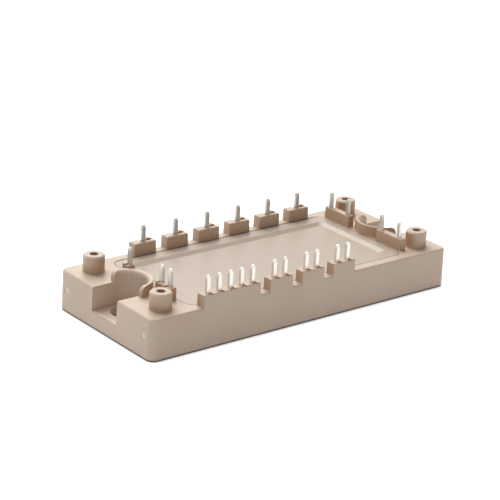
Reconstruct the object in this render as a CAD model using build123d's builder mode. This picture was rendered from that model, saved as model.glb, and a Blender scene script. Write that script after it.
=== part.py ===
"""Power module with six rectifier diodes, a three-phase inverter and a brake chopper in one moulded frame.

Units are millimetres. X runs along the module, Y across it and Z up. The origin is the centre of the
mounting face, which is the underside of the baseplate.
"""
import os
from math import copysign, cos, pi, radians, sin, tan

from build123d import *

os.makedirs("parts", exist_ok=True)

# Outline of the module
module_length = 107.5
module_width = 45.0
deck_height = 12.0
block_rise = 3.6
collar_rise = 3.2
boss_rise = 5.0
pin_rise = 8.5

# Moulded frame
frame_clear_of_face = 0.5
frame_corner_radius = 2.2
frame_draft = 1.2
deck_edge_chamfer = 0.4
side_wall = 5.5
cavity_corner_radius = 2.0
ledge_width = 2.0
ledge_depth = 5.2

# Baseplate
base_thickness = 3.0
base_inset = 1.3
base_corner_radius = 3.4
base_edge_chamfer = 0.25
base_fit = 0.1
screw_from_end = 7.25
screw_hole_radius = 2.75

# Screw bays in the two ends
bay_radius = 5.9
bay_floor_height = 5.2
bay_hole_radius = 4.2
bay_lip_round = 0.9
collar_wall = 1.5
collar_rim_round = 1.1
collar_rim_flats = 3
collar_end_round = 2.0
mould_mark_radius = 1.1
mould_mark_depth = 0.08
mould_mark_drop = 5.4
mould_mark_from_side = 3.9

# Bosses for the circuit board
board_screw_from_side = 6.5
board_boss_radius = 3.1
board_hole_radius = 1.25
board_hole_depth = 9.0
board_boss_chamfer = 0.35

# Pins
pin_width = 1.15
pin_thickness = 0.9
pin_tip_width = 0.65
pin_tip_thickness = 0.5
pin_tip_length = 0.7
pin_foot_thickness = 0.8
pin_foot_reach = 1.2
pin_pitch = 3.81
slots_per_phase = 3
side_row_offset = 3.5
end_row_offset = 3.3
front_row_start = 2.51
back_pins = 6
back_row_slot = 2
front_slots = (0, 1, 2, 3, 4, 6, 7, 9, 10, 12, 13)

# Pin blocks on the deck
block_edge_chamfer = 0.18
back_block_width = 7.55
front_margin_left = 2.4
front_margin_right = 1.8
end_block_setback = 0.25
end_block_depth = 2.1
end_block_inner_margin = 1.4
end_block_outer_margin = 1.9
pin_groove_margin = 0.15
pin_groove_depth = 0.35
hump_radius = 1.5
hump_rise = 0.55
hump_offset = 2.0
hump_depth = 1.3

# Lid
lid_end_seat = 2.1
lid_side_seat = 2.0
lid_to_collar = 0.2
lid_corner_radius = 3.2
lid_thickness = 1.8
lid_fit = 0.15
panel_end_margin = 2.9
panel_side_margin = 4.3
panel_corner_radius = 1.5
panel_depth = 0.7
panel_bevel = 1.4

# Substrates
phases = 3
substrate_split = -3.5
substrate_gap = 1.2
substrate_clearance = 0.6
solder_thickness = 0.2
copper_thickness = 0.3
ceramic_thickness = 0.5
copper_inset = 0.8
track_gap = 0.9
rail_width = 3.4
signal_pad_length = 2.3
signal_pad_width = 2.2
rail_end_width = 2.6

# Chips, the temperature sensor and the bond wires
chip_thickness = 0.25
chip_margin = 1.2
switch_side_margin = 0.33
switch_chip_length = 5.2
diode_chip_width = 3.4
diode_chip_length = 5.0
chip_spacing = 0.8
rectifier_side_margin = 0.92
rectifier_chip_length = 4.6
thermistor_length = 3.2
thermistor_width = 1.6
thermistor_height = 0.8
wire_width = 0.4
wire_foot = 0.6
wire_slope = 1.2
chip_wire_loop = 1.6
pin_wire_loop = 1.3
wire_shift = 0.6
landing_inset = 1.2
end_landing_inset = 0.5

# Silicone gel over the substrates
gel_clearance = 1.8

half_length = module_length / 2
half_width = module_width / 2
block_top = deck_height + block_rise
collar_top = deck_height + collar_rise
boss_top = deck_height + boss_rise
pin_tip_height = deck_height + pin_rise
ledge_height = deck_height - ledge_depth
gel_top = deck_height - lid_thickness - gel_clearance

# The lid reaches from one collar to the other, and the cavity is smaller than the lid by its seat
screw_place = half_length - screw_from_end
collar_radius = bay_radius + collar_wall
lid_half_length = screw_place - collar_radius - lid_to_collar
cavity_half_length = lid_half_length - lid_end_seat
cavity_half_width = half_width - side_wall
lid_half_width = cavity_half_width + lid_side_seat
side_row = cavity_half_width + side_row_offset
end_row = cavity_half_length + end_row_offset
front_first = front_row_start - cavity_half_length
phase_pitch = slots_per_phase * pin_pitch
back_first = front_first + back_row_slot * pin_pitch
last_end_slot = int((cavity_half_width - pin_width) // pin_pitch)
pin_foot_bottom = ledge_height - pin_foot_thickness
well_half_length = cavity_half_length - ledge_width
well_half_width = cavity_half_width - ledge_width
ends = (-1, 1)
left_slots = (2, -2, -3)
right_slots = (last_end_slot, 2, -2, -last_end_slot)


def front_pin_x(slot):
    """Place along the front row of the pin in one slot of the pin grid."""
    return front_first + slot * pin_pitch


def pin_plane(x, y, inward):
    """Plane standing in a pin's axis, with its X pointing into the module."""
    return Plane(origin=(x, y, 0), x_dir=(inward[0], inward[1], 0), z_dir=(inward[1], -inward[0], 0))


def make_pin(x, y, inward, wall_face):
    """A flat pin: tapered tip, straight post and a foot that lies on the ledge inside the wall."""
    across = abs(x if inward[0] else y)
    foot_end = across - wall_face + pin_foot_reach
    half_post = pin_thickness / 2
    shoulder = pin_tip_height - pin_tip_length
    facing = (inward[0], inward[1], 0)
    with BuildPart() as pin:
        with BuildSketch(pin_plane(x, y, inward)):
            with BuildLine():
                Polyline(
                    (-half_post, pin_foot_bottom),
                    (foot_end, pin_foot_bottom),
                    (foot_end, ledge_height),
                    (half_post, ledge_height),
                    (half_post, shoulder),
                    (-half_post, shoulder),
                    close=True,
                )
            make_face()
        extrude(amount=pin_width / 2, both=True)
        with BuildSketch(Plane(origin=(x, y, shoulder), x_dir=facing)):
            Rectangle(pin_thickness, pin_width)
        with BuildSketch(Plane(origin=(x, y, pin_tip_height), x_dir=facing)):
            Rectangle(pin_tip_thickness, pin_tip_width)
        loft(ruled=True)
    return pin.part


# Pins stand in four rows, numbered round the module from the back left
pin_rows = []
for count in range(back_pins):
    pin_rows.append((back_first + count * phase_pitch, side_row, (0, -1), cavity_half_width))
for slot in left_slots:
    pin_rows.append((-end_row, slot * pin_pitch, (1, 0), cavity_half_length))
for slot in front_slots:
    pin_rows.append((front_pin_x(slot), -side_row, (0, 1), cavity_half_width))
for slot in reversed(right_slots):
    pin_rows.append((end_row, slot * pin_pitch, (-1, 0), cavity_half_length))

pins = []
for number, (x, y, inward, wall_face) in enumerate(pin_rows, start=1):
    pin_part = make_pin(x, y, inward, wall_face)
    pin_part.label = f"pin_{number:02d}"
    export_step(pin_part, f"parts/pin_{number:02d}.step")
    pins.append(pin_part)

# Baseplate: a thick metal plate with a screw hole near each end
with BuildPart() as baseplate:
    with BuildSketch():
        RectangleRounded(module_length - 2 * base_inset, module_width - 2 * base_inset, base_corner_radius)
    extrude(amount=base_thickness)
    chamfer(baseplate.faces().sort_by(Axis.Z)[0].outer_wire().edges(), base_edge_chamfer)
    with Locations((-screw_place, 0, base_thickness), (screw_place, 0, base_thickness)):
        Hole(screw_hole_radius)
baseplate.part.label = "baseplate"
export_step(baseplate.part, "parts/baseplate.step")

# Frame: one moulding with the side walls, the two screw bays, the pin blocks and the board bosses
front_blocks = ((0, 4), (6, 7), (9, 10), (12, 13))
end_blocks = (
    (-1, left_slots[0], left_slots[0]),
    (-1, left_slots[1], left_slots[2]),
    (1, right_slots[1], right_slots[0]),
    (1, right_slots[2], right_slots[3]),
)
bay_slot_length = half_length - screw_place + base_inset
block_foot = deck_height - deck_edge_chamfer
wall_lean = tan(radians(frame_draft))
block_inner_face = lid_half_width + lid_fit
block_outer_face = half_width - (block_foot - frame_clear_of_face) * wall_lean
block_depth = block_outer_face - block_inner_face
block_middle = (block_outer_face + block_inner_face) / 2
end_block_middle = lid_half_length + lid_fit + end_block_setback + end_block_depth / 2
hump_outer_face = block_outer_face - (block_top - block_foot) * wall_lean - block_edge_chamfer
lip_face = half_length - (bay_floor_height - bay_lip_round - frame_clear_of_face) * wall_lean
rim_points = [(0, collar_rim_round), (0, -collar_rim_round)]
for step in range(collar_rim_flats + 1):
    turn = step * pi / 2 / collar_rim_flats
    rim_points.append((bay_radius + collar_rim_round * (1 - cos(turn)), collar_rim_round * (sin(turn) - 1)))
rim_points.append((bay_radius + collar_rim_round, collar_rim_round))
mould_mark_height = deck_height - mould_mark_drop
mould_mark_place = half_width - mould_mark_from_side
end_face_at_mark = half_length - (mould_mark_height - frame_clear_of_face) * wall_lean
board_spacing_x = 2 * screw_place
board_spacing_y = 2 * (half_width - board_screw_from_side)


def end_block_span(inner_slot, outer_slot):
    """Low and high Y of an end block, which reaches further past its outer pin than past its inner one."""
    away = copysign(1, inner_slot)
    inner = inner_slot * pin_pitch - away * end_block_inner_margin
    outer = outer_slot * pin_pitch + away * end_block_outer_margin
    return min(inner, outer), max(inner, outer)


with BuildPart() as frame:
    with BuildSketch(Plane.XY.offset(frame_clear_of_face)):
        RectangleRounded(module_length, module_width, frame_corner_radius)
    extrude(amount=deck_height - frame_clear_of_face, taper=frame_draft)
    chamfer(frame.faces().sort_by(Axis.Z)[-1].edges(), deck_edge_chamfer)

    # Blocks that hold the pins, flush with the side walls and as steep as they are
    with BuildSketch(Plane.XY.offset(block_foot)):
        for count in range(back_pins):
            with Locations((back_first + count * phase_pitch, block_middle)):
                Rectangle(back_block_width, block_depth)
        for first, last in front_blocks:
            left = front_pin_x(first) - front_margin_left
            right = front_pin_x(last) + front_margin_right
            with Locations(((left + right) / 2, -block_middle)):
                Rectangle(right - left, block_depth)
        for side, inner_slot, outer_slot in end_blocks:
            low, high = end_block_span(inner_slot, outer_slot)
            with Locations((side * end_block_middle, (low + high) / 2)):
                Rectangle(end_block_depth, high - low)
    extrude(amount=block_top - block_foot, taper=frame_draft)
    chamfer(frame.edges().group_by(Axis.Z)[-1], block_edge_chamfer)

    # Rounded hump beside each pin of the back row
    with BuildSketch(Plane.XZ.offset(-hump_outer_face)):
        for count in range(back_pins):
            hump_x = back_first + count * phase_pitch + hump_offset
            with Locations((hump_x, block_top - hump_radius + hump_rise)):
                Circle(hump_radius)
    extrude(amount=hump_depth)

    # Half-round collars that stand above the deck on the inner side of each screw bay
    for side in ends:
        with BuildSketch(Plane.XY.offset(block_foot)):
            with Locations((side * screw_place, 0)):
                Circle(collar_radius)
            with Locations((side * (screw_place + collar_radius), 0)):
                Rectangle(2 * collar_radius, 2 * collar_radius, mode=Mode.SUBTRACT)
        extrude(amount=collar_top - block_foot)
        with BuildSketch(Plane.XZ):
            with Locations((side * screw_place, collar_top)):
                Rectangle(2 * collar_end_round, 2 * collar_end_round)
            with Locations((side * (screw_place - collar_end_round), collar_top - collar_end_round)):
                Circle(collar_end_round, mode=Mode.SUBTRACT)
        extrude(amount=collar_radius, both=True, mode=Mode.SUBTRACT)

    # Round bosses for the board screws
    with BuildSketch(Plane.XY.offset(block_foot)):
        with GridLocations(board_spacing_x, board_spacing_y, 2, 2):
            Circle(board_boss_radius)
    extrude(amount=boss_top - block_foot)
    chamfer(frame.edges().group_by(Axis.Z)[-1], board_boss_chamfer)
    with Locations(Plane.XY.offset(boss_top)):
        with GridLocations(board_spacing_x, board_spacing_y, 2, 2):
            Hole(board_hole_radius, depth=board_hole_depth)

    # Screw bays: a round well with a hole in its floor, open to the end face above a rounded lip
    for side in ends:
        with BuildSketch(Plane.XY.offset(frame_clear_of_face)):
            with Locations((side * screw_place, 0)):
                Circle(bay_hole_radius)
        extrude(amount=boss_top, mode=Mode.SUBTRACT)
        with BuildSketch(Plane.XY.offset(bay_floor_height)):
            with Locations((side * screw_place, 0)):
                Circle(bay_radius)
            with Locations((side * (screw_place + bay_slot_length / 2), 0)):
                Rectangle(bay_slot_length, 2 * bay_radius)
        extrude(amount=boss_top, mode=Mode.SUBTRACT)
        with BuildSketch(Plane.XZ):
            with Locations((side * lip_face, bay_floor_height)):
                Rectangle(2 * bay_lip_round, 2 * bay_lip_round)
            with Locations((side * (lip_face - bay_lip_round), bay_floor_height - bay_lip_round)):
                Circle(bay_lip_round, mode=Mode.SUBTRACT)
        extrude(amount=bay_radius, both=True, mode=Mode.SUBTRACT)
        rim_centre = (side * screw_place, 0, collar_top)
        with BuildSketch(Plane(origin=rim_centre, x_dir=(1, 0, 0), z_dir=(0, -1, 0))):
            with BuildLine():
                Polyline(*rim_points, close=True)
            make_face()
        revolve(axis=Axis((side * screw_place, 0, 0), (0, 0, 1)), mode=Mode.SUBTRACT)

    # Shallow round marks that the mould leaves on the end faces
    for side in ends:
        with BuildSketch(Plane.YZ.offset(side * (end_face_at_mark - mould_mark_depth))):
            with Locations((-mould_mark_place, mould_mark_height), (mould_mark_place, mould_mark_height)):
                Circle(mould_mark_radius)
        extrude(amount=side * base_inset, mode=Mode.SUBTRACT)

    # Recess for the lid, the cavity under it and the ledge that carries the pin feet
    with BuildSketch(Plane.XY.offset(deck_height)):
        recess_length = 2 * (lid_half_length + lid_fit)
        recess_width = 2 * (lid_half_width + lid_fit)
        RectangleRounded(recess_length, recess_width, lid_corner_radius + lid_fit)
    extrude(amount=-lid_thickness, mode=Mode.SUBTRACT)
    with BuildSketch(Plane.XY.offset(ledge_height)):
        RectangleRounded(2 * cavity_half_length, 2 * cavity_half_width, cavity_corner_radius)
    extrude(amount=deck_height - ledge_height, mode=Mode.SUBTRACT)
    with BuildSketch():
        RectangleRounded(2 * well_half_length, 2 * well_half_width, cavity_corner_radius)
    extrude(amount=deck_height, mode=Mode.SUBTRACT)

    # Pocket in the underside for the baseplate
    with BuildSketch():
        RectangleRounded(
            module_length - 2 * (base_inset - base_fit),
            module_width - 2 * (base_inset - base_fit),
            base_corner_radius + base_fit,
        )
    extrude(amount=base_thickness, mode=Mode.SUBTRACT)

    # The moulding is cast round the pins, with a shallow groove from each to the outer face of its block
    groove_width = pin_width + 2 * pin_groove_margin
    groove_length = half_width - side_row
    with BuildSketch(Plane.XY.offset(block_top)):
        for x, y, inward, wall_face in pin_rows:
            with Locations((x - inward[0] * groove_length / 2, y - inward[1] * groove_length / 2)):
                if inward[0]:
                    Rectangle(groove_length, groove_width)
                else:
                    Rectangle(groove_width, groove_length)
    extrude(amount=-pin_groove_depth, mode=Mode.SUBTRACT)
    add(pins, mode=Mode.SUBTRACT)
frame.part.label = "frame"
export_step(frame.part, "parts/frame.step")

# Lid: a plate with a sunk panel whose rim is bevelled
panel_half_length = lid_half_length - panel_end_margin
panel_half_width = lid_half_width - panel_side_margin
with BuildPart() as lid:
    with BuildSketch(Plane.XY.offset(deck_height - lid_thickness)):
        RectangleRounded(2 * lid_half_length, 2 * lid_half_width, lid_corner_radius)
    extrude(amount=lid_thickness)
    with BuildSketch(Plane.XY.offset(deck_height)):
        RectangleRounded(2 * panel_half_length, 2 * panel_half_width, panel_corner_radius)
    with BuildSketch(Plane.XY.offset(deck_height - panel_depth)):
        RectangleRounded(
            2 * (panel_half_length - panel_bevel), 2 * (panel_half_width - panel_bevel), panel_corner_radius
        )
    loft(mode=Mode.SUBTRACT)
lid.part.label = "lid"
export_step(lid.part, "parts/lid.step")

# The two substrates lie side by side on the baseplate, each a stack of solder, copper, ceramic and tracks
solder_top = base_thickness + solder_thickness
copper_top = solder_top + copper_thickness
ceramic_top = copper_top + ceramic_thickness
track_top = ceramic_top + copper_thickness
chip_top = track_top + chip_thickness
substrate_half_width = well_half_width - substrate_clearance
track_half_width = substrate_half_width - copper_inset
substrate_spans = {
    "left": (-well_half_length + substrate_clearance, substrate_split - substrate_gap / 2),
    "right": (substrate_split + substrate_gap / 2, well_half_length - substrate_clearance),
}

# Rows of tracks from the back: pads of the phases, minus rail, plus rail and signal pads
main_row = (2 * track_half_width - rail_width - signal_pad_length - 3 * track_gap) / 2
pad_high = track_half_width
pad_low = pad_high - main_row
minus_high = pad_low - track_gap
minus_low = minus_high - rail_width
plus_high = minus_low - track_gap
plus_low = plus_high - main_row
signal_high = plus_low - track_gap
signal_low = -track_half_width
minus_middle = (minus_high + minus_low) / 2
plus_middle = (plus_high + plus_low) / 2
signal_middle = (signal_high + signal_low) / 2
pad_chip_y = pad_low + chip_margin + switch_chip_length / 2
pad_landing = pad_low + wire_foot


def track_span(side):
    """Low and high X of the copper on one substrate."""
    low, high = substrate_spans[side]
    return low + copper_inset, high - copper_inset


def columns(side, number):
    """Middles and width of equal pads along one substrate, clear of the rail ends on the right one."""
    low, high = track_span(side)
    if side == "right":
        high = high - rail_end_width - track_gap
    pad_width = (high - low - (number - 1) * track_gap) / number
    middles = [low + pad_width / 2 + index * (pad_width + track_gap) for index in range(number)]
    return middles, pad_width


def landing_x(x, inset):
    """Nearest X to a pin that lies on copper, this far inside its edge."""
    low, high = track_span("left") if x < substrate_split else track_span("right")
    return min(max(x, low + inset), high - inset)


def span_rectangle(low_x, high_x, low_y, high_y):
    """Rectangle of the current sketch between two corners."""
    with Locations(((low_x + high_x) / 2, (low_y + high_y) / 2)):
        Rectangle(high_x - low_x, high_y - low_y)


def make_block(name, low_x, high_x, low_y, high_y, bottom, top):
    """A plain rectangular layer or chip, written under its own name."""
    with BuildPart() as block:
        with BuildSketch(Plane.XY.offset(bottom)):
            span_rectangle(low_x, high_x, low_y, high_y)
        extrude(amount=top - bottom)
    block.part.label = name
    export_step(block.part, f"parts/{name}.step")
    return block.part


inner_parts = []
phase_columns = {"left": phases + 1, "right": phases}
for side, (low, high) in substrate_spans.items():
    track_low, track_high = track_span(side)
    under_copper = (track_low, track_high, -track_half_width, track_half_width)
    whole = (low, high, -substrate_half_width, substrate_half_width)
    inner_parts.append(make_block(f"solder_{side}", *under_copper, base_thickness, solder_top))
    inner_parts.append(make_block(f"copper_under_{side}", *under_copper, solder_top, copper_top))
    inner_parts.append(make_block(f"ceramic_{side}", *whole, copper_top, ceramic_top))
    middles, pad_width = columns(side, phase_columns[side])
    rail_end = track_high - rail_end_width
    with BuildPart() as tracks:
        with BuildSketch(Plane.XY.offset(ceramic_top)):
            for middle in middles:
                span_rectangle(middle - pad_width / 2, middle + pad_width / 2, pad_low, pad_high)
            span_rectangle(track_low, track_high, minus_low, minus_high)
            span_rectangle(track_low, track_high, plus_low, plus_high)
            if side == "right":
                span_rectangle(rail_end, track_high, minus_low, pad_high)
                span_rectangle(rail_end, track_high, signal_low, plus_high)
            for slot in front_slots:
                pad_x = landing_x(front_pin_x(slot), landing_inset)
                pad_reach = signal_pad_width / 2
                if track_low < pad_x < track_high:
                    span_rectangle(pad_x - pad_reach, pad_x + pad_reach, signal_low, signal_high)
        extrude(amount=copper_thickness)
    tracks.part.label = f"tracks_{side}"
    export_step(tracks.part, f"parts/tracks_{side}.step")
    inner_parts.append(tracks.part)


def make_chip(name, x, y, width, length):
    """A chip soldered on a track."""
    part = make_block(name, x - width / 2, x + width / 2, y - length / 2, y + length / 2, track_top, chip_top)
    inner_parts.append(part)


# Chips: on each pad of the back row the lower switch of a phase, on the plus rail the upper one
chip_places = []
inverter_columns, pad_width = columns("right", phase_columns["right"])
pair_width = pad_width - 2 * switch_side_margin
switch_chip_width = pair_width - chip_spacing - diode_chip_width
for phase, middle in enumerate(inverter_columns, start=1):
    switch_x = middle - (pair_width - switch_chip_width) / 2
    diode_x = middle + (pair_width - diode_chip_width) / 2
    for row, row_y, number in (("low", pad_chip_y, phase), ("high", plus_middle, phase + phases)):
        make_chip(f"inverter_switch_{number}", switch_x, row_y, switch_chip_width, switch_chip_length)
        make_chip(f"inverter_diode_{number}", diode_x, row_y, diode_chip_width, diode_chip_length)
        chip_places.append((switch_x, row))
        chip_places.append((diode_x, row))
rectifier_columns, pad_width = columns("left", phase_columns["left"])
chip_width = pad_width - 2 * rectifier_side_margin
make_chip("brake_switch", rectifier_columns[0], pad_chip_y, chip_width, rectifier_chip_length)
make_chip("brake_diode", rectifier_columns[0], plus_middle, diode_chip_width, diode_chip_length)
chip_places.append((rectifier_columns[0], "low"))
chip_places.append((rectifier_columns[0], "high"))
for phase, middle in enumerate(rectifier_columns[1:], start=1):
    for row, row_y, number in (("low", pad_chip_y, phase), ("high", plus_middle, phase + phases)):
        make_chip(f"rectifier_diode_{number}", middle, row_y, chip_width, rectifier_chip_length)
        chip_places.append((middle, row))

# Temperature sensor across two signal pads
thermistor_x = (front_pin_x(front_slots[5]) + front_pin_x(front_slots[6])) / 2
thermistor_part = make_block(
    "thermistor",
    thermistor_x - thermistor_length / 2,
    thermistor_x + thermistor_length / 2,
    signal_middle - thermistor_width / 2,
    signal_middle + thermistor_width / 2,
    track_top,
    track_top + thermistor_height,
)
inner_parts.append(thermistor_part)


def bond_wire(start, end, loop):
    """A bond wire from one point to another, in the upright plane through both."""
    run_x = end[0] - start[0]
    run_y = end[1] - start[1]
    reach = (run_x**2 + run_y**2) ** 0.5
    drop = end[2] - start[2]
    heel = wire_foot / 2
    with BuildPart() as wire:
        with BuildSketch(Plane(origin=start, x_dir=(run_x, run_y, 0), z_dir=(run_y, -run_x, 0))):
            with BuildLine():
                Polyline(
                    (-heel, 0),
                    (wire_slope - heel, loop),
                    (reach - wire_slope + heel, loop),
                    (reach + heel, drop),
                    (reach - heel, drop),
                    (reach - wire_slope, loop - wire_width),
                    (wire_slope, loop - wire_width),
                    (heel, 0),
                    close=True,
                )
            make_face()
        extrude(amount=wire_width / 2, both=True)
    return wire.part


# One wire from each chip: from a lower chip to the minus rail, from an upper one over it to a phase pad
chip_wire_list = []
for chip_x, row in chip_places:
    if row == "low":
        wire_x = chip_x - wire_shift
        start = (wire_x, pad_chip_y, chip_top)
        end = (wire_x, minus_middle, track_top)
    else:
        wire_x = chip_x + wire_shift
        start = (wire_x, plus_middle, chip_top)
        end = (wire_x, pad_landing, track_top)
    chip_wire_list.append(bond_wire(start, end, chip_wire_loop))
with BuildPart() as chip_wires:
    add(chip_wire_list)
chip_wires.part.label = "chip_wires"
export_step(chip_wires.part, "parts/chip_wires.step")

# Wires from the pin feet to the tracks, and the wires that join the rails of the two substrates
pin_wire_list = []
for x, y, inward, wall_face in pin_rows:
    across = wall_face - pin_foot_reach / 2
    if inward[0]:
        start = (copysign(across, x), y, ledge_height)
        end_y = y if abs(y) < abs(plus_low) else copysign(signal_middle, y)
        end = (landing_x(x, end_landing_inset), end_y, track_top)
    else:
        start = (x, copysign(across, y), ledge_height)
        end = (landing_x(x, landing_inset), copysign(signal_middle, y), track_top)
    pin_wire_list.append(bond_wire(start, end, pin_wire_loop))
for rail_y in (minus_middle, plus_high - wire_foot):
    left_end = track_span("left")[1] - wire_foot
    right_end = track_span("right")[0] + wire_foot
    start = (left_end, rail_y, track_top)
    end = (right_end, rail_y, track_top)
    pin_wire_list.append(bond_wire(start, end, chip_wire_loop))
with BuildPart() as pin_wires:
    add(pin_wire_list)
pin_wires.part.label = "pin_wires"
export_step(pin_wires.part, "parts/pin_wires.step")

# Silicone gel: it fills the cavity over the substrates and closes round everything that it covers
with BuildPart() as gel:
    with BuildSketch(Plane.XY.offset(base_thickness)):
        RectangleRounded(2 * well_half_length, 2 * well_half_width, cavity_corner_radius)
    extrude(amount=gel_top - base_thickness)
    with BuildSketch(Plane.XY.offset(ledge_height)):
        RectangleRounded(2 * cavity_half_length, 2 * cavity_half_width, cavity_corner_radius)
    extrude(amount=gel_top - ledge_height)
    add([*inner_parts, *chip_wire_list, *pin_wire_list], mode=Mode.SUBTRACT)
gel.part.label = "gel"
export_step(gel.part, "parts/gel.step")
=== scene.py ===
"""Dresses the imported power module: materials, floor, soft studio light and the photograph's viewing angle."""
from math import cos, radians, sin

import bpy
from mathutils import Matrix, Vector


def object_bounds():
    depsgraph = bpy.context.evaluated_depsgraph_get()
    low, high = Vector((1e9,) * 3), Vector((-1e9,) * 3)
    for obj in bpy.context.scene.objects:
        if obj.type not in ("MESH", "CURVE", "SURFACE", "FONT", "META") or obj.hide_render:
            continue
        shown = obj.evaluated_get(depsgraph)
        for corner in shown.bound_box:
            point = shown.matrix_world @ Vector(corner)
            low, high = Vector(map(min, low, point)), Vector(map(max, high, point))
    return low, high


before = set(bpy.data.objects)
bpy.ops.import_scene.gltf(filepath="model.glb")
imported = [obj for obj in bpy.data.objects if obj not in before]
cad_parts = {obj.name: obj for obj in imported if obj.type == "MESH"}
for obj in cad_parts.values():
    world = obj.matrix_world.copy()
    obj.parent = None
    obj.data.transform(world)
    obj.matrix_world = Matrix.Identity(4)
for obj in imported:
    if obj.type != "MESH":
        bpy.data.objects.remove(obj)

cad_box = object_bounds()
MM = 0.001  # metres in a millimetre

# Camera, fitted to the photograph: angles in degrees, lengths in millimetres, focal length in pixels
CAMERA_AZIMUTH = -39.33
CAMERA_ELEVATION = 20.66
CAMERA_ROLL = 3.14
CAMERA_DISTANCE = 541.88
CAMERA_TARGET = (11.63, 18.64, 6.0)
CAMERA_FOCAL_PIXELS = 1802.43
IMAGE_PIXELS = 500
SENSOR_WIDTH = 36.0

# Round marks that the mould leaves on the end faces, painted lighter as a soft highlight
HALF_LENGTH = cad_box[1][0]
HALF_WIDTH = cad_box[1][1]
MARK_FROM_SIDE = 3.9 * MM
MARK_HEIGHT = 6.6 * MM
MARK_RADIUS = 1.1 * MM
MARK_REACH = 0.5 * MM

# Painted shade: a dark line along the back edge of the lid, where it lies in the frame
LID_BACK = max(v.co.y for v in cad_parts["lid"].data.vertices)
SEAM_WIDTH = 0.9 * MM
SEAM_FULL = 0.63 * MM
SEAM_SHADE_SHARE = 0.8

# Raised forms of the frame stand above the deck, and get painted brown shade where they face other forms,
# standing in for light thrown back from them
DECK_HEIGHT = 12.0 * MM
RAISED_START = 0.1 * MM
RAISED_FULL = 0.8 * MM
FACING_SHADE_REACH = 8 * MM
FACING_SHADE_SHARE = 0.8

# Moulding plastic: reach of the painted shade in corners, height of the grain and rounding of the sharp edges
CORNER_SHADE_REACH = 1.2 * MM
GRAIN_HEIGHT = 0.004 * MM
EDGE_ROUND = 0.14 * MM

# Plated metal: height of the streaks
STREAK_HEIGHT = 0.006 * MM

# White table: half its side in metres, how far it lies below the module, share of light that it throws
# back, its own glow as a light and as it is seen, and the reach of the painted contact shadow where the module
# stands
FLOOR_REACH = 3.0
FLOOR_DROP = 0.02 * MM
FLOOR_ALBEDO = 0.6
FLOOR_GLOW = 0.38
FLOOR_GLOW_SEEN = 0.86
CONTACT_SHADOW_REACH = 2.5 * MM

# Light: the even world light and the soft boxes, each with its place and side in metres, watts and colour
WORLD_LIGHT = 0.22
LAMP_AIM = (0, 0, 0.006)
LAMPS = {
    "behind": ((0.15, 0.95, 1.28), 1.5, 31.5, (1, 1, 1)),
    "front": ((0.1, -1.2, 1.1), 0.8, 0.6, (1, 1, 1)),
    "left": ((-1.1, -0.5, 1.05), 0.7, 2.9, (0.82, 0.95, 1.1)),
}


def linear(red, green, blue):
    """Linear colour of an sRGB colour given from 0 to 255."""
    out = []
    for value in (red, green, blue):
        part = value / 255
        out.append(part / 12.92 if part <= 0.04045 else ((part + 0.055) / 1.055) ** 2.4)
    return (*out, 1.0)


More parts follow.
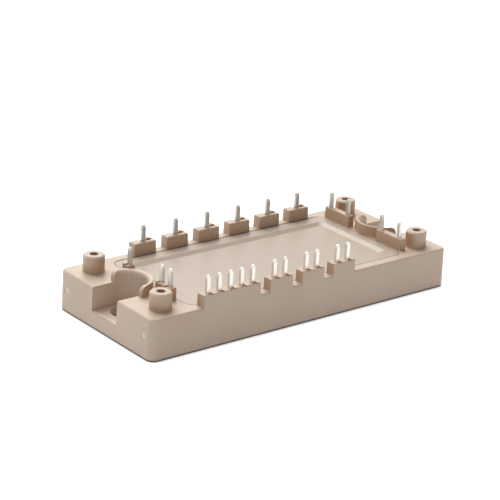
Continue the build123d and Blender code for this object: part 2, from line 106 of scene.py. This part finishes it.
class Nodes:
    """Builds one node material and keeps its tree, its shader and its object coordinates."""

    def __init__(self, name):
        self.material = bpy.data.materials.new(name)
        self.material.use_nodes = True
        self.tree = self.material.node_tree
        self.shader = self.tree.nodes["Principled BSDF"]
        self.coordinates = self.tree.nodes.new("ShaderNodeTexCoord").outputs["Object"]

    def link(self, source, target):
        self.tree.links.new(source, target)

    def stretched(self, scale):
        """Object coordinates stretched along the axes."""
        mapping = self.tree.nodes.new("ShaderNodeMapping")
        mapping.inputs["Scale"].default_value = scale
        self.link(self.coordinates, mapping.inputs["Vector"])
        return mapping.outputs["Vector"]

    def noise(self, scale, detail=3.0, roughness=0.5, vector=None, distortion=0.0):
        """Noise from 0 to 1, with its scale in cells for each metre."""
        node = self.tree.nodes.new("ShaderNodeTexNoise")
        node.inputs["Scale"].default_value = scale
        node.inputs["Detail"].default_value = detail
        node.inputs["Roughness"].default_value = roughness
        node.inputs["Distortion"].default_value = distortion
        self.link(vector or self.coordinates, node.inputs["Vector"])
        return node.outputs["Fac"]

    def spread(self, value, low, high, to_low=0.0, to_high=1.0):
        """A value stretched from one range to another, and held inside it."""
        node = self.tree.nodes.new("ShaderNodeMapRange")
        node.inputs["From Min"].default_value = low
        node.inputs["From Max"].default_value = high
        node.inputs["To Min"].default_value = to_low
        node.inputs["To Max"].default_value = to_high
        self.link(value, node.inputs["Value"])
        return node.outputs["Result"]

    def maths(self, operation, first, second):
        node = self.tree.nodes.new("ShaderNodeMath")
        node.operation = operation
        for socket, value in ((node.inputs[0], first), (node.inputs[1], second)):
            if isinstance(value, (int, float)):
                socket.default_value = value
            else:
                self.link(value, socket)
        return node.outputs["Value"]

    def mix(self, factor, first, second, blend="MIX"):
        """Two colours mixed by a factor. Each may be a colour or an output."""
        node = self.tree.nodes.new("ShaderNodeMix")
        node.data_type = "RGBA"
        node.blend_type = blend
        for socket, value in ((node.inputs[0], factor), (node.inputs[6], first), (node.inputs[7], second)):
            if isinstance(value, (int, float, tuple)):
                socket.default_value = value
            else:
                self.link(value, socket)
        return node.outputs[2]

    def corners(self, distance):
        """From 0 deep in a corner or gap to 1 out in the open."""
        node = self.tree.nodes.new("ShaderNodeAmbientOcclusion")
        node.samples = 8
        node.inputs["Distance"].default_value = distance
        return node.outputs["AO"]

    def mould_mark_highlights(self):
        """From 0 to 1 on the four round marks of the end faces, soft at their rims: where a soft highlight is
        painted.
        """
        split = self.tree.nodes.new("ShaderNodeSeparateXYZ")
        self.link(self.coordinates, split.inputs["Vector"])
        out, along, up = (self.maths("ABSOLUTE", split.outputs[axis], 0.0) for axis in "XYZ")
        aside = self.maths("SUBTRACT", along, HALF_WIDTH - MARK_FROM_SIDE)
        above = self.maths("SUBTRACT", up, MARK_HEIGHT)
        wide = self.maths("MULTIPLY", aside, aside)
        high = self.maths("MULTIPLY", above, above)
        away = self.maths("SQRT", self.maths("ADD", wide, high), 0.0)
        spot = self.spread(away, MARK_RADIUS * 0.5, MARK_RADIUS * 1.15, 1.0, 0.0)
        return self.maths("MULTIPLY", spot, self.maths("GREATER_THAN", out, HALF_LENGTH - MARK_REACH))

    def place(self, axis):
        """Place along one axis, in metres."""
        split = self.tree.nodes.new("ShaderNodeSeparateXYZ")
        self.link(self.coordinates, split.inputs["Vector"])
        return split.outputs[axis]

    def bump(self, height, distance, strength=1.0, edge=0.0):
        """Bumps the surface by a height, over edges that are rounded by a radius."""
        node = self.tree.nodes.new("ShaderNodeBump")
        node.inputs["Strength"].default_value = strength
        node.inputs["Distance"].default_value = distance
        self.link(height, node.inputs["Height"])
        if edge:
            bevel = self.tree.nodes.new("ShaderNodeBevel")
            bevel.samples = 6
            bevel.inputs["Radius"].default_value = edge
            self.link(bevel.outputs["Normal"], node.inputs["Normal"])
        self.link(node.outputs["Normal"], self.shader.inputs["Normal"])

    def set(self, **values):
        """Sets constants on the shader's own sockets."""
        for name, value in values.items():
            self.shader.inputs[name.replace("_", " ")].default_value = value


def moulded_plastic(name, pale, deep, dust, grain, gloss, housing=False):
    """Glass-filled moulding plastic: clouds of two shades, fine fibres, painted shade in the corners and a fine
    grain.

    The housing has the mould's marks, painted lighter as a soft highlight, and painted brown shade on its
    raised forms where they face other forms, and the lid has a painted shade line along its seam.
    """
    n = Nodes(name)
    clouds = n.spread(n.noise(55, 4, 0.55, distortion=0.6), 0.3, 0.7)
    flow = n.spread(n.noise(420, 3, 0.6, n.stretched((0.25, 1.0, 1.0))), 0.35, 0.7)
    fibres = n.spread(n.noise(5200, 2, 0.7, n.stretched((0.35, 1.0, 1.0))), 0.42, 0.62)
    colour = n.mix(clouds, deep, pale)
    colour = n.mix(n.maths("MULTIPLY", flow, 0.10), colour, dust)
    colour = n.mix(n.maths("MULTIPLY", fibres, 0.10), colour, pale)
    # Painted shade: the colour is darkened in corners and gaps
    open_air = n.spread(n.corners(CORNER_SHADE_REACH), 0.3, 0.9)
    shaded = n.mix(0.3, colour, linear(140, 108, 84), "MULTIPLY")
    colour = n.mix(open_air, shaded, colour)
    if housing:
        # Painted highlight: the round mould marks are painted lighter
        colour = n.mix(n.maths("MULTIPLY", n.mould_mark_highlights(), 0.6), colour, linear(238, 226, 212))
        # Painted shade: raised forms are painted browner where they face other forms
        raised = n.spread(n.place("Z"), DECK_HEIGHT + RAISED_START, DECK_HEIGHT + RAISED_FULL)
        near = n.spread(n.corners(FACING_SHADE_REACH), 0.55, 0.95, FACING_SHADE_SHARE, 0.0)
        colour = n.mix(n.maths("MULTIPLY", near, raised), colour, linear(232, 205, 172), "MULTIPLY")
    else:
        # Painted shade: a dark line in the seam along the lid's back edge
        line = n.spread(n.place("Y"), LID_BACK - SEAM_WIDTH, LID_BACK - SEAM_FULL, 0.0, SEAM_SHADE_SHARE)
        colour = n.mix(line, colour, linear(104, 76, 52))
    n.link(colour, n.shader.inputs["Base Color"])
    n.link(n.spread(n.noise(900, 3), 0.3, 0.7, gloss - 0.04, gloss + 0.05), n.shader.inputs["Roughness"])
    n.bump(n.noise(grain, 3, 0.65), GRAIN_HEIGHT, 0.3, EDGE_ROUND)
    return n.material


def plated_metal(name, pale, deep, rough, streak, edge, scale, painted_back_shade=None):
    """Plated metal with streaks along one axis and a patchy shine, with painted shade that darkens it towards
    the back if asked.
    """
    n = Nodes(name)
    streaks = n.spread(n.noise(scale, 3, 0.6, n.stretched(streak)), 0.3, 0.7)
    patches = n.spread(n.noise(260, 3, 0.6, distortion=0.8), 0.35, 0.7)
    colour = n.mix(streaks, deep, pale)
    colour = n.mix(n.maths("MULTIPLY", patches, 0.25), colour, deep)
    # Painted shade: the colour is darkened towards the back
    if painted_back_shade:
        colour = n.mix(n.spread(n.place("Y"), -HALF_WIDTH, HALF_WIDTH), colour, n.mix(0.5, colour, painted_back_shade))
    n.link(colour, n.shader.inputs["Base Color"])
    n.link(n.spread(streaks, 0, 1, *rough), n.shader.inputs["Roughness"])
    n.bump(streaks, STREAK_HEIGHT, 0.4, edge)
    n.set(Metallic=1.0)
    return n.material


def plain_grain(name, pale, deep, roughness, scale, metallic=0.0, depth=GRAIN_HEIGHT, **more):
    """A hidden inner material: two shades in a fine grain over soft clouds."""
    n = Nodes(name)
    grain = n.spread(n.noise(scale, 4, 0.6), 0.35, 0.65)
    clouds = n.spread(n.noise(scale / 12, 2), 0.3, 0.7)
    colour = n.mix(grain, deep, pale)
    colour = n.mix(n.maths("MULTIPLY", clouds, 0.3), colour, deep)
    n.link(colour, n.shader.inputs["Base Color"])
    n.link(n.spread(grain, 0, 1, roughness, min(1.0, roughness + 0.15)), n.shader.inputs["Roughness"])
    n.bump(grain, depth, 0.3)
    n.set(Metallic=metallic, **more)
    return n.material


materials = {
    "frame": moulded_plastic("housing_plastic", linear(207, 185, 165), linear(200, 177, 156),
                             linear(214, 194, 176), 3600, 0.42, True),
    "lid": moulded_plastic("lid_plastic", linear(187, 171, 153), linear(181, 164, 146),
                           linear(194, 180, 163), 5200, 0.37),
    "baseplate": plated_metal("base_metal", linear(196, 194, 190), linear(168, 164, 158),
                              (0.28, 0.42), (0.05, 1.0, 1.0), 0.15 * MM, 2600),
    # Tinned pins: painted shade darkens them towards the back
    "pin": plated_metal("tinned_pin", linear(240, 237, 231), linear(220, 216, 208),
                        (0.4, 0.52), (1.0, 1.0, 0.12), 0.2 * MM, 3800, linear(90, 80, 66)),
    "solder": plain_grain("solder", linear(176, 177, 180), linear(140, 142, 146), 0.35, 2400, 1.0),
    "copper": plain_grain("copper", linear(214, 142, 106), linear(178, 106, 76), 0.3, 2000, 1.0),
    "ceramic": plain_grain("ceramic", linear(240, 239, 233), linear(226, 224, 216), 0.55, 5200),
    "chip": plain_grain("chip", linear(150, 152, 158), linear(112, 115, 124), 0.22, 3000, 0.8),
    "thermistor": plain_grain("thermistor_body", linear(86, 74, 66), linear(58, 48, 42), 0.5, 3600),
    "wires": plain_grain("bond_wire", linear(222, 222, 222), linear(190, 190, 192), 0.3, 5200, 1.0),
    "gel": plain_grain("gel", linear(232, 234, 228), linear(220, 223, 216), 0.16, 400, 0.0, 0.05 * MM,
                       Transmission_Weight=0.85, IOR=1.41),
}


def material_for(node):
    """Material of a node by the start of its name."""
    if node in ("frame", "lid", "baseplate", "thermistor", "gel"):
        return materials[node]
    if node.startswith("pin_") and node != "pin_wires":
        return materials["pin"]
    if node.endswith("wires"):
        return materials["wires"]
    if node.startswith("solder"):
        return materials["solder"]
    if node.startswith(("copper", "tracks")):
        return materials["copper"]
    if node.startswith("ceramic"):
        return materials["ceramic"]
    return materials["chip"]


for node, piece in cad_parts.items():
    for slot in piece.material_slots:
        slot.link = "OBJECT"
        slot.material = material_for(node)


def floor_material():
    """Lit white table: it lights the outer faces from below, keeps a faint shadow and has a painted contact
    shadow where the module stands.
    """
    n = Nodes("floor")
    tree = n.tree
    diffuse = tree.nodes.new("ShaderNodeBsdfDiffuse")
    diffuse.inputs["Color"].default_value = (FLOOR_ALBEDO, FLOOR_ALBEDO, FLOOR_ALBEDO, 1)
    path = tree.nodes.new("ShaderNodeLightPath")
    seen = n.maths("MAXIMUM", path.outputs["Is Camera Ray"], path.outputs["Is Glossy Ray"])
    glow = tree.nodes.new("ShaderNodeEmission")
    # Painted shadow: the glow is dimmed where the module stands, for a dark contact line
    contact = n.spread(n.corners(CONTACT_SHADOW_REACH), 0.3, 0.75)
    level = n.spread(seen, 0, 1, FLOOR_GLOW, FLOOR_GLOW_SEEN)
    n.link(n.maths("MULTIPLY", level, contact), glow.inputs["Strength"])
    add = tree.nodes.new("ShaderNodeAddShader")
    tree.links.new(diffuse.outputs[0], add.inputs[0])
    tree.links.new(glow.outputs[0], add.inputs[1])
    tree.links.new(add.outputs[0], tree.nodes["Material Output"].inputs["Surface"])
    return n.material


def make_floor():
    """A square table top, just below the module."""
    mesh = bpy.data.meshes.new("floor")
    turns = ((-1, -1), (1, -1), (1, 1), (-1, 1))
    mesh.from_pydata([(x * FLOOR_REACH, y * FLOOR_REACH, 0) for x, y in turns], [], [(0, 1, 2, 3)])
    floor = bpy.data.objects.new("floor", mesh)
    bpy.context.scene.collection.objects.link(floor)
    floor.location = (0, 0, -FLOOR_DROP)
    mesh.materials.append(floor_material())


def make_world(strength):
    """An even soft light, which the camera and shiny surfaces see as white."""
    world = bpy.data.worlds.new("studio")
    bpy.context.scene.world = world
    world.use_nodes = True
    tree = world.node_tree
    background = tree.nodes["Background"]
    background.inputs["Color"].default_value = (1, 1, 1, 1)
    path = tree.nodes.new("ShaderNodeLightPath")
    seen = path.outputs["Is Camera Ray"]
    for kind in ("Is Glossy Ray", "Is Transmission Ray"):
        either = tree.nodes.new("ShaderNodeMath")
        either.operation = "MAXIMUM"
        tree.links.new(seen, either.inputs[0])
        tree.links.new(path.outputs[kind], either.inputs[1])
        seen = either.outputs[0]
    level = tree.nodes.new("ShaderNodeMapRange")
    level.inputs["To Min"].default_value = strength
    level.inputs["To Max"].default_value = 1.0
    tree.links.new(seen, level.inputs["Value"])
    tree.links.new(level.outputs[0], background.inputs["Strength"])


def make_lamp(name, place, side, energy, colour):
    """A square soft box that faces the middle of the module."""
    lamp = bpy.data.lights.new(name, "AREA")
    lamp.shape = "SQUARE"
    lamp.size = side
    lamp.energy = energy
    lamp.color = colour
    body = bpy.data.objects.new(name, lamp)
    bpy.context.scene.collection.objects.link(body)
    body.location = place
    body.rotation_euler = (Vector(LAMP_AIM) - Vector(place)).to_track_quat("-Z", "Y").to_euler()


def make_camera():
    """Camera at the photograph's viewing angle."""
    azimuth, elevation, roll = (radians(v) for v in (CAMERA_AZIMUTH, CAMERA_ELEVATION, CAMERA_ROLL))
    back = Vector((sin(azimuth) * cos(elevation), -cos(azimuth) * cos(elevation), sin(elevation)))
    level = Vector((cos(azimuth), sin(azimuth), 0))
    upright = back.cross(level)
    right = level * cos(roll) + upright * sin(roll)
    up = upright * cos(roll) - level * sin(roll)
    place = Vector(CAMERA_TARGET) * MM + back * CAMERA_DISTANCE * MM
    lens = bpy.data.cameras.new("camera")
    lens.sensor_width = SENSOR_WIDTH
    lens.lens = CAMERA_FOCAL_PIXELS / IMAGE_PIXELS * SENSOR_WIDTH
    lens.clip_start = 0.01
    lens.clip_end = 20.0
    camera = bpy.data.objects.new("camera", lens)
    bpy.context.scene.collection.objects.link(camera)
    camera.matrix_world = Matrix((
        (right.x, up.x, back.x, place.x),
        (right.y, up.y, back.y, place.y),
        (right.z, up.z, back.z, place.z),
        (0, 0, 0, 1),
    ))
    bpy.context.scene.camera = camera


make_floor()
make_world(WORLD_LIGHT)
for name, (place, side, energy, colour) in LAMPS.items():
    make_lamp(name, place, side, energy, colour)
make_camera()
bpy.context.scene.view_settings.view_transform = "Standard"
